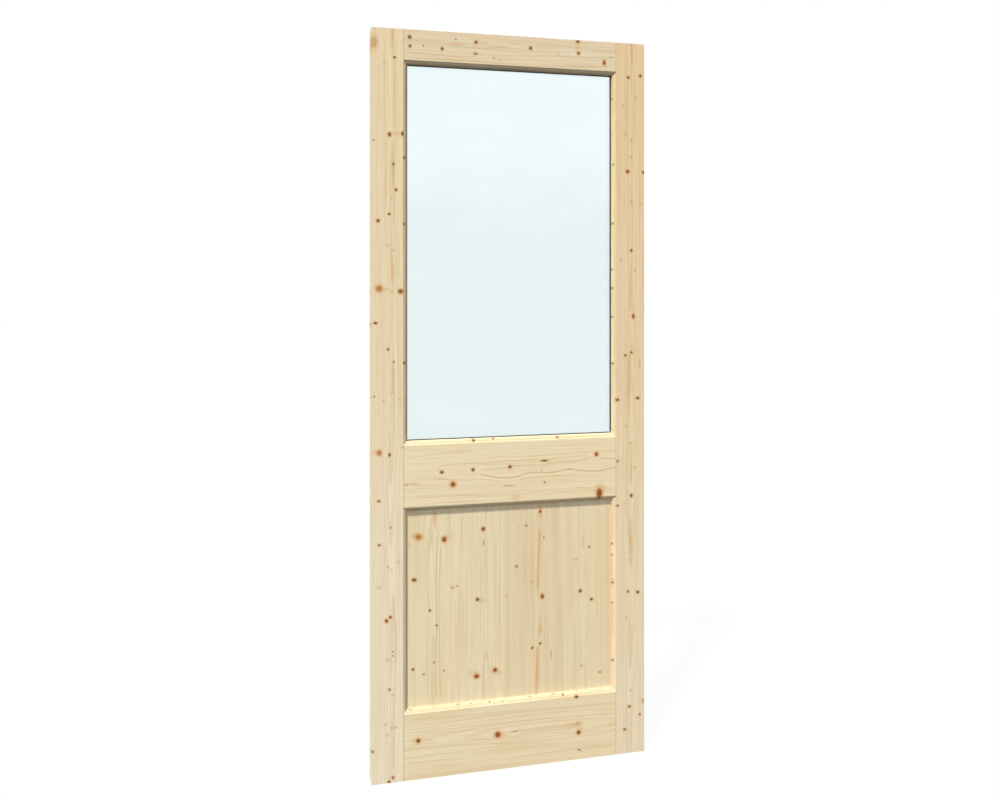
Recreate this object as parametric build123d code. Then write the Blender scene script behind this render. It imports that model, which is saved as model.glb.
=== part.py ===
from build123d import *
from math import atan2, copysign, degrees
import os

# Glazed external door leaf in pine, in millimetres.
# X runs across the leaf, Y through it and Z up. The outside face is at -Y.
# The origin is the middle of the bottom edge, halfway through the leaf.

# Leaf
leaf_width = 762.0
leaf_height = 1981.0
leaf_thickness = 44.0
edge_rounding = 1.0

# Framing members, measured across their flat faces
stile_face = 84.0
top_rail_face = 81.0
middle_rail_face = 164.0
bottom_rail_face = 175.0
middle_rail_height = 720.0

# Moulding worked on the edges of the members, alike on both faces of the leaf
moulding_width = 10.0
moulding_quirk = 2.5
moulding_land = 4.0
moulding_bulge = 1.7

# Flat panel in its groove
panel_thickness = 17.8
panel_face_clearance = 0.1
panel_groove_depth = 11.0
panel_edge_clearance = 1.0

# Dowels that join each rail to the stiles
dowel_diameter = 16.0
dowel_length = 120.0
dowel_clearance = 0.05
dowel_end_gap = 2.0
dowel_edge_distance = 26.0
top_rail_dowel_count = 2
middle_rail_dowel_count = 2
bottom_rail_dowel_count = 3

# Rebate for the glass, open to the back of the leaf
rebate_cover = 15.0

# Sealed double glazed unit, from front to back
front_seal_thickness = 3.5
front_seal_lip = 2.5
pane_thickness = 4.0
cavity_thickness = 6.0
rear_seal_thickness = 2.0
seal_width = 10.0
unit_edge_clearance = 3.0
edge_seal_depth = 4.0
spacer_depth = 7.5
spacer_wall = 0.5
spacer_slit = 0.8
spacer_key_length = 40.0
spacer_fill_clearance = 0.1

# Blocks that hold the unit clear of the rebate
block_length = 50.0
block_corner_distance = 110.0

# Glazing beads, set back a little behind the sight line, and their pins
bead_setback = 2.0
bead_clearance = 0.2
pin_width = 1.3
pin_thickness = 1.0
pin_length = 25.0
pin_point_length = 2.0
pin_head_width = 2.2
pin_head_thickness = 0.6
pin_clearance = 0.05
pin_tip_gap = 0.5
pin_from_back_face = 7.5
pin_head_from_arris = 5.5
pin_end_distance = 70.0
pin_spacing = 200.0

# Levels through the leaf
front_face = -leaf_thickness / 2
back_face = leaf_thickness / 2
groove_width = panel_thickness + 2 * panel_face_clearance
moulding_depth = (leaf_thickness - groove_width) / 2
moulding_curve_depth = moulding_depth - moulding_quirk - moulding_land
rebate_level = front_face + moulding_depth
outer_pane_level = rebate_level + front_seal_thickness
cavity_level = outer_pane_level + pane_thickness
inner_pane_level = cavity_level + cavity_thickness
unit_back_level = inner_pane_level + pane_thickness
bead_level = unit_back_level + rear_seal_thickness

# Arrises and sight lines
stile_arris = leaf_width / 2 - stile_face
bottom_rail_arris = bottom_rail_face
middle_rail_lower_arris = middle_rail_height
middle_rail_upper_arris = middle_rail_height + middle_rail_face
top_rail_arris = leaf_height - top_rail_face
sight_x = stile_arris - moulding_width
panel_sight = (bottom_rail_arris + moulding_width, middle_rail_lower_arris - moulding_width)
glass_sight = (middle_rail_upper_arris + moulding_width, top_rail_arris - moulding_width)
glass_middle = sum(glass_sight) / 2

# Unit vectors from a member towards the opening that it borders
rightwards = (1, 0, 0)
leftwards = (-1, 0, 0)
upwards = (0, 0, 1)
downwards = (0, 0, -1)


def spread(limits, distance):
    """A pair of limits moved apart by a distance on each side."""
    return limits[0] - distance, limits[1] + distance


def box_between(x, y, z):
    """A box from a pair of limits along each axis."""
    size = [high - low for low, high in (x, y, z)]
    centre = [(high + low) / 2 for low, high in (x, y, z)]
    return Pos(*centre) * Box(*size)


def glass_area(distance, y):
    """A box over the glass opening, reaching a distance behind its sight line."""
    return box_between(spread((-sight_x, sight_x), distance), y, spread(glass_sight, distance))


def glass_ring(outer, inner, y):
    """A frame round the glass opening, between two distances behind its sight line."""
    return glass_area(outer, y) - glass_area(inner, y)


def front_seal_opening():
    """The opening in the front seal, whose lip slopes from the wood in to the outer pane."""
    slope = degrees(atan2(front_seal_lip, front_seal_thickness))
    front = Plane(origin=(0, rebate_level, glass_middle), x_dir=(1, 0, 0), z_dir=(0, 1, 0))
    outline = front * Rectangle(2 * sight_x, glass_sight[1] - glass_sight[0])
    return extrude(outline, front_seal_thickness, taper=slope)


def side_plane(arris_point, towards):
    """Local X runs from an arris towards the opening, local Y through the leaf, local Z along."""
    along = Vector(*towards).cross(Vector(0, 1, 0))
    return Plane(origin=arris_point, x_dir=towards, z_dir=along)


def moulded_section(face):
    """Section of a member with a flat face of the given width and one moulded edge."""
    foot_front = front_face + moulding_quirk + moulding_curve_depth
    foot_back = back_face - moulding_quirk - moulding_curve_depth
    with BuildSketch() as section:
        with BuildLine():
            Polyline((-face, back_face), (-face, front_face), (0, front_face), (0, front_face + moulding_quirk))
            SagittaArc((0, front_face + moulding_quirk), (moulding_width, foot_front), -moulding_bulge)
            Line((moulding_width, foot_front), (moulding_width, foot_back))
            SagittaArc((moulding_width, foot_back), (0, back_face - moulding_quirk), -moulding_bulge)
            Polyline((0, back_face - moulding_quirk), (0, back_face), (-face, back_face))
        make_face()
    return section.sketch


def moulded_bar(arris_point, towards, face, half_length):
    """A straight length of moulded section, centred on a point of its arris line."""
    section = side_plane(arris_point, towards) * moulded_section(face)
    return extrude(section, half_length, both=True)


def stile_blank(side):
    """A full length stile before its groove, rebate and holes, on the side -1 or 1."""
    towards = rightwards if side < 0 else leftwards
    return moulded_bar((side * stile_arris, 0, leaf_height / 2), towards, stile_face, leaf_height / 2)


def rail_blank(arris, towards, face):
    """A rail as long as the stiles' arrises are apart, moulded on the edge at its arris."""
    return moulded_bar((0, 0, arris), towards, face, stile_arris)


def dowel_heights(low, high, count):
    """Heights of the dowels of a rail, evenly spaced between its flat face's two edges."""
    first = low + dowel_edge_distance
    last = high - dowel_edge_distance
    return [first + (last - first) * i / (count - 1) for i in range(count)]


def dowel():
    """A plain dowel lying along X."""
    return Rot(0, 90, 0) * Cylinder(dowel_diameter / 2, dowel_length)


def dowel_hole():
    """The hole for a dowel, drilled deeper than the dowel goes at both ends."""
    return Rot(0, 90, 0) * Cylinder(dowel_diameter / 2 + dowel_clearance, dowel_length + 2 * dowel_end_gap)


def pin():
    """A flat headed pin with its head's top at the origin and its chisel point at -X."""
    half_shank = pin_width / 2
    half_head = pin_head_width / 2
    with BuildSketch(Plane.XZ) as outline:
        with BuildLine() as edge:
            Polyline(
                (-pin_length, 0),
                (-pin_length + pin_point_length, half_shank),
                (-pin_head_thickness, half_shank),
                (-pin_head_thickness, half_head),
                (0, half_head),
                (0, 0),
            )
            mirror(edge.line, about=Plane.XZ)
        make_face()
    return extrude(outline.sketch, pin_thickness / 2, both=True)


def pin_hole():
    """The slot that a pin is driven in, with the recess that its head was punched down."""
    across = spread((0, 0), pin_thickness / 2 + pin_clearance)
    shank = spread((0, 0), pin_width / 2 + pin_clearance)
    head = spread((0, 0), pin_head_width / 2 + pin_clearance)
    slot = box_between((-pin_length - pin_tip_gap, 0), across, shank)
    recess = box_between((-pin_head_thickness - pin_clearance, moulding_width), across, head)
    return slot + recess


def pin_places(length):
    """Even places along a bead, measured from its middle."""
    span = length - 2 * pin_end_distance
    gaps = max(1, round(span / pin_spacing))
    return [span * (i / gaps - 0.5) for i in range(gaps + 1)]


def bead_corners(side):
    """The two outer corners of a bead, as X and Z."""
    half_width = sight_x + rebate_cover - bead_clearance
    low, high = spread(glass_sight, rebate_cover - bead_clearance)
    return {
        "left": ((-half_width, low), (-half_width, high)),
        "right": ((half_width, low), (half_width, high)),
        "bottom": ((-half_width, low), (half_width, low)),
        "top": ((-half_width, high), (half_width, high)),
    }[side]


def mitre_wedge(side):
    """The trapezoid that a mitred bead fills, through the thickness of the leaf."""
    start, end = bead_corners(side)
    inner = [
        (x - copysign(rebate_cover, x), z - copysign(rebate_cover, z - glass_middle))
        for x, z in (end, start)
    ]
    with BuildSketch(Plane.XZ) as wedge:
        with BuildLine():
            Polyline(start, end, *inner, close=True)
        make_face()
    return extrude(wedge.sketch, leaf_thickness, both=True)


def bead(side, arris_point, towards, half_length):
    """A mitred glazing bead with the moulding of the members, set back from their sight line."""
    face = rebate_cover - bead_setback - moulding_width - bead_clearance
    bead_arris_point = Vector(*arris_point) - Vector(*towards) * bead_setback
    bar = moulded_bar(bead_arris_point, towards, face, half_length)
    depth_of_bead = glass_area(rebate_cover, (bead_level, back_face))
    return bar & depth_of_bead & mitre_wedge(side)


def blocks(centres, x_length, z_length):
    """Equal blocks as wide as the glazed unit is thick."""
    return [
        box_between(
            spread((x, x), x_length / 2),
            (outer_pane_level, unit_back_level),
            spread((z, z), z_length / 2),
        )
        for x, z in centres
    ]


def save(name, *solids):
    """Write one node, as a single solid or as a group of separate ones."""
    shape = solids[0] if len(solids) == 1 else Compound(children=list(solids))
    export_step(shape, f"parts/{name}.step")


os.makedirs("parts", exist_ok=True)

# Framing members before machining
stiles = {"left": stile_blank(-1), "right": stile_blank(1)}
half_middle_rail = middle_rail_face / 2
rails = {
    "top": rail_blank(top_rail_arris, downwards, top_rail_face),
    "middle": rail_blank(middle_rail_upper_arris, upwards, half_middle_rail)
    + rail_blank(middle_rail_lower_arris, downwards, half_middle_rail),
    "bottom": rail_blank(bottom_rail_arris, upwards, bottom_rail_face),
}

# The ends of each rail are coped to fit over the moulding of the stiles
for name in rails:
    rails[name] = rails[name] - stiles["left"] - stiles["right"]

# Panel groove and glazing rebate
panel_groove = box_between(
    spread((-sight_x, sight_x), panel_groove_depth),
    (-groove_width / 2, groove_width / 2),
    spread(panel_sight, panel_groove_depth),
)
glass_rebate = glass_area(rebate_cover, (rebate_level, back_face + leaf_thickness))
for members in (stiles, rails):
    for name in members:
        members[name] = members[name] - panel_groove - glass_rebate

# Dowels in the butt joint between the rails' ends and the stiles' edges
dowel_levels = {
    "top": dowel_heights(top_rail_arris, leaf_height, top_rail_dowel_count),
    "middle": dowel_heights(middle_rail_lower_arris, middle_rail_upper_arris, middle_rail_dowel_count),
    "bottom": dowel_heights(0, bottom_rail_arris, bottom_rail_dowel_count),
}
for rail, heights in dowel_levels.items():
    for side, sign in (("left", -1), ("right", 1)):
        places = [Pos(sign * sight_x, 0, height) for height in heights]
        holes = [place * dowel_hole() for place in places]
        stiles[side] = stiles[side] - holes
        rails[rail] = rails[rail] - holes
        save(f"{side}_{rail}_dowels", *[place * dowel() for place in places])

# Glazing beads, each pinned to the member behind it
rebate_half_width = sight_x + rebate_cover
rebate_half_height = (glass_sight[1] - glass_sight[0]) / 2 + rebate_cover
bead_sides = {
    "left": ((-stile_arris, 0, glass_middle), rightwards, rebate_half_height, stiles, "left"),
    "right": ((stile_arris, 0, glass_middle), leftwards, rebate_half_height, stiles, "right"),
    "bottom": ((0, 0, middle_rail_upper_arris), upwards, rebate_half_width, rails, "middle"),
    "top": ((0, 0, top_rail_arris), downwards, rebate_half_width, rails, "top"),
}
for side, (arris_point, towards, half_length, members, member) in bead_sides.items():
    plane = side_plane(arris_point, towards)
    pin_level = back_face - pin_from_back_face
    places = [
        plane.location * Pos(pin_head_from_arris, pin_level, along) for along in pin_places(2 * half_length)
    ]
    holes = [place * pin_hole() for place in places]
    save(f"{side}_glazing_bead", bead(side, arris_point, towards, half_length) - holes)
    members[member] = members[member] - holes
    save(f"{side}_bead_pins", *[place * pin() for place in places])

# Stiles with their outer edges rounded, and rails
for side, solid in stiles.items():
    outer = solid.edges().filter_by(Axis.Z).sort_by(lambda edge: -abs(edge.center().X))[:2]
    save(f"{side}_stile", fillet(outer, edge_rounding))
for name, solid in rails.items():
    save(f"{name}_rail", solid)

# Panel, held in its groove on all four edges
panel_reach = panel_groove_depth - panel_edge_clearance
save(
    "lower_panel",
    box_between(
        spread((-sight_x, sight_x), panel_reach),
        (-panel_thickness / 2, panel_thickness / 2),
        spread(panel_sight, panel_reach),
    ),
)

# Sealed unit: two panes, the spacer bar between them and the seal round its edge
unit_reach = rebate_cover - unit_edge_clearance
save("outer_pane", glass_area(unit_reach, (outer_pane_level, cavity_level)))
save("inner_pane", glass_area(unit_reach, (inner_pane_level, unit_back_level)))
spacer_outer = unit_reach - edge_seal_depth
spacer_inner = spacer_outer - spacer_depth
cavity = (cavity_level, inner_pane_level)
hollow = (cavity_level + spacer_wall, inner_pane_level - spacer_wall)
slit = spread((sum(cavity) / 2, sum(cavity) / 2), spacer_slit / 2)
spacer_bar = glass_ring(spacer_outer, spacer_inner, cavity)
spacer_bar -= glass_ring(spacer_outer - spacer_wall, spacer_inner + spacer_wall, hollow)
spacer_bar -= glass_ring(spacer_inner + spacer_wall, spacer_inner, slit)
save("spacer_bar", spacer_bar)
save("edge_seal", glass_ring(unit_reach, spacer_outer, cavity))

# The key that closes the spacer's ring at the top, and the drying fill in its two sides
fill_outer = spacer_outer - spacer_wall - spacer_fill_clearance
fill_inner = spacer_inner + spacer_wall + spacer_fill_clearance
fill_levels = spread(hollow, -spacer_fill_clearance)
save(
    "spacer_key",
    box_between(
        (-spacer_key_length / 2, spacer_key_length / 2),
        fill_levels,
        (glass_sight[1] + fill_inner, glass_sight[1] + fill_outer),
    ),
)
save(
    "spacer_drying_fill",
    *[
        box_between(
            sorted((sign * (sight_x + fill_inner), sign * (sight_x + fill_outer))),
            fill_levels,
            spread(glass_sight, fill_inner),
        )
        for sign in (-1, 1)
    ],
)

# Seals between the unit and the wood in front of it and the beads behind it
front_seal = glass_area(seal_width, (rebate_level, outer_pane_level))
save("front_glazing_seal", front_seal - front_seal_opening())
save("rear_glazing_seal", glass_ring(seal_width, bead_setback, (unit_back_level, bead_level)))

# Setting blocks under the unit, and location blocks at its sides and top
unit_half_width = sight_x + unit_reach
unit_low, unit_high = spread(glass_sight, unit_reach)
block_x = unit_half_width - block_corner_distance
block_z = (unit_low + block_corner_distance, unit_high - block_corner_distance)
gap = unit_edge_clearance
side_x = unit_half_width + gap / 2
save("setting_blocks", *blocks([(x, unit_low - gap / 2) for x in (-block_x, block_x)], block_length, gap))
save("top_location_blocks", *blocks([(x, unit_high + gap / 2) for x in (-block_x, block_x)], block_length, gap))
save("left_location_blocks", *blocks([(-side_x, z) for z in block_z], gap, block_length))
save("right_location_blocks", *blocks([(side_x, z) for z in block_z], gap, block_length))
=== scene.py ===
from math import pi, radians

import bpy
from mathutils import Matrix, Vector


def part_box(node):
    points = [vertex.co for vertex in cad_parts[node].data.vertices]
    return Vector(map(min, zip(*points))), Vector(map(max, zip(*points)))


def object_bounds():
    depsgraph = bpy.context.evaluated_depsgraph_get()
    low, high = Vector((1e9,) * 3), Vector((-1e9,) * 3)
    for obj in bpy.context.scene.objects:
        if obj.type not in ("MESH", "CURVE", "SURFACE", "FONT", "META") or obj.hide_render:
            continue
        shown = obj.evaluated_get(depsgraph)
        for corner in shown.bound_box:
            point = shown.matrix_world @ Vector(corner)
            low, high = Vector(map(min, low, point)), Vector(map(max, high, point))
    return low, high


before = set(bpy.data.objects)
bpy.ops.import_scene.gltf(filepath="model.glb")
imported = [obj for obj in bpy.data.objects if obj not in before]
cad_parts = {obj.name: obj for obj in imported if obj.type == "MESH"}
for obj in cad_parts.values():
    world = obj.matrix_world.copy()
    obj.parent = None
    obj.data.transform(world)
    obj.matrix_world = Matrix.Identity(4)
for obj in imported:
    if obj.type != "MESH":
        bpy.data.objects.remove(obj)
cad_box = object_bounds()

# The leaf, in millimetres as it is measured on the photograph.
# Places on its face are given from its left edge and from its bottom edge,
# and depths from its outside face.
MM = 1000.0
LEAF_LOW, LEAF_HIGH = (Vector(corner) for corner in cad_box)
LEAF_WIDTH, LEAF_THICKNESS, LEAF_HEIGHT = (LEAF_HIGH - LEAF_LOW) * MM

# Camera fitted to the photograph's corners
CAMERA_PLACE = (-0.633, -2.476, 1.312)
CAMERA_TURN = radians(13.69)
CAMERA_LENS = 33.69
CAMERA_SHIFT = -0.117

# Where the camera stands off the leaf's face, and how deep the lower panel lies in it
CAMERA_FOOT = (CAMERA_PLACE[0] * MM + LEAF_WIDTH / 2, CAMERA_PLACE[2] * MM)
CAMERA_DISTANCE = -CAMERA_PLACE[1] * MM - LEAF_THICKNESS / 2
PANEL_DEPTH = (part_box("lower_panel")[0][1] - LEAF_LOW.y) * MM

# Light: a warm key from the upper left in front, a broad cooler fill from straight in front and above,
# a low lamp from behind, and an even sky. Each lamp has its direction, strength, width and colour.
LAMPS = {
    "key": ((0.334, 0.418, -0.8445), 3.8, 5, (1.05, 1.0, 0.94)),
    "fill": ((0.14, 0.89, -0.43), 1.08, 60, (0.965, 1.0, 1.045)),
    "back": ((0.42, -0.90, -0.15), 2.5, 20, (1.0, 1.0, 1.0)),
}
SKY_STRENGTH = 0.22
SKY_COLOUR = (0.93, 1.0, 1.08, 1.0)

# Floor: a pale surface that shows as white, and its share of the lamps' light where it is looked at
FLOOR_SIZE = 60.0
FLOOR_BOUNCE = 0.05
FLOOR_GLOW = 0.94
FLOOR_LIT = 0.045


def linear(red, green, blue):
    """A colour written in screen values from 0 to 255, as Blender's linear values."""
    values = []
    for value in (red, green, blue):
        share = value / 255
        values.append(share / 12.92 if share <= 0.04045 else ((share + 0.055) / 1.055) ** 2.4)
    return (*values, 1.0)


class Graph:
    """Adds nodes to one tree. An input may be a socket to link or a value to set."""

    def __init__(self, tree):
        self.tree = tree

    def node(self, kind, inputs=(), **settings):
        made = self.tree.nodes.new(kind)
        for name, value in settings.items():
            setattr(made, name, value)
        for key, value in dict(inputs).items():
            self.plug(made.inputs[key], value)
        return made

    def plug(self, socket, value):
        if isinstance(value, bpy.types.NodeSocket):
            self.tree.links.new(value, socket)
        else:
            socket.default_value = value

    def math(self, operation, *values, clamp=False):
        made = self.node("ShaderNodeMath", operation=operation, use_clamp=clamp)
        for socket, value in zip(made.inputs, values):
            self.plug(socket, value)
        return made.outputs[0]

    def vector(self, operation, *values):
        made = self.node("ShaderNodeVectorMath", operation=operation)
        for socket, value in zip(made.inputs, values):
            self.plug(socket, value)
        return made.outputs["Value"] if operation in ("LENGTH", "DOT_PRODUCT") else made.outputs[0]

    def parts(self, vector):
        return self.node("ShaderNodeSeparateXYZ", {0: vector}).outputs

    def join(self, x=0.0, y=0.0, z=0.0):
        return self.node("ShaderNodeCombineXYZ", {0: x, 1: y, 2: z}).outputs[0]

    def noise(self, vector, detail=2.0, roughness=0.5, scale=1.0):
        inputs = {"Vector": vector, "Scale": scale, "Detail": detail, "Roughness": roughness}
        return self.node("ShaderNodeTexNoise", inputs).outputs["Fac"]

    def step(self, value, low, high, to_low=0.0, to_high=1.0):
        inputs = {"Value": value, "From Min": low, "From Max": high, "To Min": to_low, "To Max": to_high}
        return self.node("ShaderNodeMapRange", inputs, interpolation_type="SMOOTHSTEP").outputs[0]

    def mix(self, factor, a, b, blend="MIX"):
        made = self.node("ShaderNodeMix", data_type="RGBA", blend_type=blend)
        for index, value in ((0, factor), (6, a), (7, b)):
            self.plug(made.inputs[index], value)
        return made.outputs[2]

    def pick(self, factor, a, b):
        made = self.node("ShaderNodeMix", data_type="VECTOR")
        for index, value in ((0, factor), (4, a), (5, b)):
            self.plug(made.inputs[index], value)
        return made.outputs[1]

    def stretched(self, vector, *sizes):
        """A vector whose parts are divided by the given sizes, so that noise on it has them."""
        return self.vector("DIVIDE", vector, sizes)


def new_material(name):
    """An empty material with a Principled shader, its graph, and that shader."""
    made = bpy.data.materials.new(name)
    made.use_nodes = True
    graph = Graph(made.node_tree)
    shader = made.node_tree.nodes["Principled BSDF"]
    return made, graph, shader


def wear(node, material):
    """Puts a material on every slot of a CAD node."""
    for slot in bpy.data.objects[node].material_slots:
        slot.material = material


def leaf_place(graph):
    """Millimetres from the leaf's left edge, its outside face and its bottom edge."""
    place = graph.node("ShaderNodeTexCoord").outputs["Object"]
    moved = graph.vector("SUBTRACT", place, tuple(LEAF_LOW))
    return graph.vector("MULTIPLY", moved, (MM, MM, MM))


# The wood's marks below are read off the flattened photograph, whose ruler stands
# this far across and up from the leaf's own edges
RULER_START = (1.5, -1.1)

# How a knot looks: the strength of its heart, how red that is, and the strength of its halo
KNOT_LOOKS = {
    "dark": (0.95, 0.40, 0.90),
    "deep": (1.0, 0.95, 0.8),
    "red": (0.95, 1.0, 0.85),
    "warm": (0.55, 0.95, 1.0),
    "brown": (0.72, 0.55, 0.65),
    "tan": (0.42, 0.60, 0.45),
    "grey": (0.66, 0.0, 0.25),
    "faint": (0.22, 0.25, 0.20),
    "stain": (0.26, 0.7, 0.6),
}
KNOT_WOBBLE = 1.5
KNOT_DRIFT = (0.30, 0.20)
GRAIN_SIDESTEP = 2.6
GRAIN_SPREAD = (0.42, 0.16)

# Colours of the wood's own marks, and of the painted shade at the rails' ends and on the mouldings
KNOT_HEART_DARK = linear(124, 76, 26)
KNOT_HEART_RED = linear(151, 79, 31)
KNOT_HEART_GREY = linear(112, 92, 56)
KNOT_RIM = linear(98, 60, 22)
HALO_WARM = linear(216, 158, 90)
HALO_GREY = linear(204, 182, 134)
RESIN = linear(212, 157, 84)
ROSE = linear(226, 184, 142)
STRAW = linear(214, 196, 142)
LATE_WOOD = linear(196, 156, 98)
GROWTH_LINE = linear(190, 150, 84)
DUCT = linear(150, 108, 66)
JOINT_SHADE = linear(150, 142, 112)
# Painted shade on the mouldings: the factors that their colour is multiplied by
PAINTED_MOULDING_SHADE = (0.86, 0.82, 0.77)


def new_group(name, inputs, outputs):
    """An empty node group, its graph, what comes in by name, and the node that its results go to."""
    tree = bpy.data.node_groups.new(name, "ShaderNodeTree")
    for side, sockets in (("INPUT", inputs), ("OUTPUT", outputs)):
        for socket, kind in sockets.items():
            tree.interface.new_socket(name=socket, in_out=side, socket_type=f"NodeSocket{kind}")
    graph = Graph(tree)
    came = graph.node("NodeGroupInput").outputs
    went = graph.node("NodeGroupOutput")
    return tree, graph, came, went


def knot_group():
    """One knot: it pushes the grain aside, and takes over a point's distance and look where it is the nearest."""
    tree, graph, came, went = new_group(
        "knot",
        {"Point": "Vector", "Near": "Float", "Look": "Vector", "Centre": "Vector", "Radii": "Vector",
         "Kind": "Vector", "Push": "Float"},
        {"Point": "Vector", "Near": "Float", "Look": "Vector"},
    )
    away = graph.vector("SUBTRACT", came["Point"], came["Centre"])
    ellipse = graph.vector("DIVIDE", away, came["Radii"])
    distance = graph.vector("LENGTH", ellipse)
    spread = graph.vector("LENGTH", graph.vector("MULTIPLY", ellipse, (*GRAIN_SPREAD, 0.0)))
    push = graph.math("MULTIPLY", graph.step(spread, 1.0, 0.0), came["Push"])
    bulge = graph.node("ShaderNodeVectorMath", {0: ellipse, "Scale": push}, operation="SCALE").outputs[0]
    graph.plug(went.inputs["Point"], graph.vector("MULTIPLY_ADD", bulge, (-1.0, 0.0, 0.0), came["Point"]))
    closer = graph.math("LESS_THAN", distance, came["Near"])
    graph.plug(went.inputs["Look"], graph.pick(closer, came["Look"], came["Kind"]))
    graph.plug(went.inputs["Near"], graph.math("MINIMUM", distance, came["Near"]))
    return tree


def streak_group():
    """One soft long band, painted over a colour."""
    tree, graph, came, went = new_group(
        "streak",
        {"Colour": "Color", "Point": "Vector", "Centre": "Vector", "Radii": "Vector", "Strength": "Float",
         "Tone": "Color"},
        {"Colour": "Color"},
    )
    away = graph.vector("SUBTRACT", came["Point"], came["Centre"])
    reach = graph.vector("LENGTH", graph.vector("DIVIDE", away, came["Radii"]))
    share = graph.math("MULTIPLY", graph.step(reach, 1.15, 0.0), came["Strength"])
    graph.plug(went.inputs["Colour"], graph.mix(share, came["Colour"], came["Tone"]))
    return tree


def ink_group():
    """One growth line, painted over a colour along a track and faded at both its ends."""
    tree, graph, came, went = new_group(
        "ink",
        {"Colour": "Color", "Across": "Float", "Track": "Float", "Run": "Float", "Width": "Float",
         "Strength": "Float", "Tone": "Color"},
        {"Colour": "Color"},
    )
    off = graph.math("DIVIDE", graph.math("SUBTRACT", came["Across"], came["Track"]), came["Width"])
    ink = graph.step(graph.math("ABSOLUTE", off), 1.0, 0.0)
    fade = graph.math("MULTIPLY", graph.step(came["Run"], 0.0, 0.08), graph.step(came["Run"], 0.93, 1.0, 1.0, 0.0))
    share = graph.math("MULTIPLY", graph.math("MULTIPLY", ink, fade), came["Strength"])
    graph.plug(went.inputs["Colour"], graph.mix(share, came["Colour"], came["Tone"]))
    return tree


KNOT, STREAK, INK = knot_group(), streak_group(), ink_group()


def knot_field(graph, across, along, deep, knots):
    """The nearest knot's distance in its own radii, its look, and where the grain round it is read."""
    drift_across = graph.math("MULTIPLY_ADD", deep, KNOT_DRIFT[0], across)
    drift_along = graph.math("MULTIPLY_ADD", deep, KNOT_DRIFT[1], along)
    ragged = graph.join(graph.math("MULTIPLY", drift_across, 0.22), graph.math("MULTIPLY", drift_along, 0.22))
    wobble = graph.math("MULTIPLY", graph.math("SUBTRACT", graph.noise(ragged), 0.5), KNOT_WOBBLE)
    point = graph.join(graph.math("ADD", drift_across, wobble), graph.math("SUBTRACT", drift_along, wobble))
    near, look = 9.0, (0.0, 0.0, 0.0)
    for centre_across, centre_along, wide, tall, kind in knots:
        inputs = {"Point": point, "Near": near, "Look": look, "Centre": (centre_across, centre_along, 0.0),
                  "Radii": (wide / 2, tall / 2, 1.0), "Kind": KNOT_LOOKS[kind],
                  "Push": GRAIN_SIDESTEP * (KNOT_LOOKS[kind][0] if kind != "stain" else 0.0)}
        point, near, look = graph.node("ShaderNodeGroup", inputs, node_tree=KNOT).outputs
    return near, look, graph.parts(point)[0]


def ring_field(graph, across, along, deep, pith, spacing, wander):
    """Growth rings round a wandering pith: how much a point is late wood, and that year's tone."""
    slow = graph.noise(graph.join(graph.math("DIVIDE", along, 520.0), pith[2], 0.0), detail=1.0)
    slower = graph.noise(graph.join(graph.math("DIVIDE", along, 900.0), pith[2] + 7.3, 0.0), detail=1.0)
    sway = graph.math("MULTIPLY", graph.math("SUBTRACT", slow, 0.5), wander)
    dive = graph.math("MULTIPLY", graph.math("SUBTRACT", slower, 0.5), wander * 1.4)
    side = graph.math("ADD", graph.math("SUBTRACT", across, pith[0]), sway)
    back = graph.math("ADD", graph.math("SUBTRACT", deep, pith[1]), dive)
    radius = graph.vector("LENGTH", graph.join(side, back))
    ripple = graph.noise(graph.join(graph.math("DIVIDE", across, 9.0), graph.math("DIVIDE", along, 70.0), deep), 2.0)
    radius = graph.math("MULTIPLY_ADD", graph.math("SUBTRACT", ripple, 0.5), spacing * 0.55, radius)
    years = graph.math("DIVIDE", radius, spacing)
    share = graph.math("FRACT", years)
    year = graph.math("FLOOR", years)
    tone = graph.node("ShaderNodeTexWhiteNoise", {"W": year}, noise_dimensions="1D").outputs["Value"]
    rise = graph.step(share, 0.25, 0.86)
    fall = graph.step(share, 0.86, 1.0, 1.0, 0.0)
    return graph.math("MULTIPLY", rise, fall), tone


def streaks(graph, colour, across, along, places):
    """Paints soft long bands: centre across and along, half width, half length, strength and colour."""
    point = graph.join(across, along)
    for centre_across, centre_along, half_width, half_length, strength, tone in places:
        inputs = {"Colour": colour, "Point": point, "Centre": (centre_across, centre_along, 0.0),
                  "Radii": (half_width, half_length, 1.0), "Strength": strength, "Tone": tone}
        colour = graph.node("ShaderNodeGroup", inputs, node_tree=STREAK).outputs[0]
    return colour


def drawn_lines(graph, colour, across, along, lines):
    """Paints the strongest growth lines where they run: points along and across, half width, strength and colour."""
    for points, half_width, strength, tone in lines:
        start, end = points[0][0], points[-1][0]
        low = min(place for _, place in points) - 1.0
        high = max(place for _, place in points) + 1.0
        run = graph.math("DIVIDE", graph.math("SUBTRACT", along, start), end - start, clamp=True)
        curve = graph.node("ShaderNodeFloatCurve", {"Value": run})
        track = curve.mapping.curves[0]
        for _ in range(len(points) - 2):
            track.points.new(0.5, 0.5)
        for corner, (reach, place) in zip(track.points, points):
            corner.location = ((reach - start) / (end - start), (place - low) / (high - low))
        curve.mapping.update()
        line = graph.math("MULTIPLY_ADD", curve.outputs[0], high - low, low)
        inputs = {"Colour": colour, "Across": across, "Track": line, "Run": run, "Width": half_width,
                  "Strength": strength, "Tone": tone}
        colour = graph.node("ShaderNodeGroup", inputs, node_tree=INK).outputs[0]
    return colour


def by_stave(graph, across, edges, values):
    """A number that changes at each glue line of a panel of staves."""
    number = values[0]
    for edge, before, after in zip(edges, values, values[1:]):
        number = graph.math("MULTIPLY_ADD", graph.math("GREATER_THAN", across, edge), after - before, number)
    return number


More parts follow.
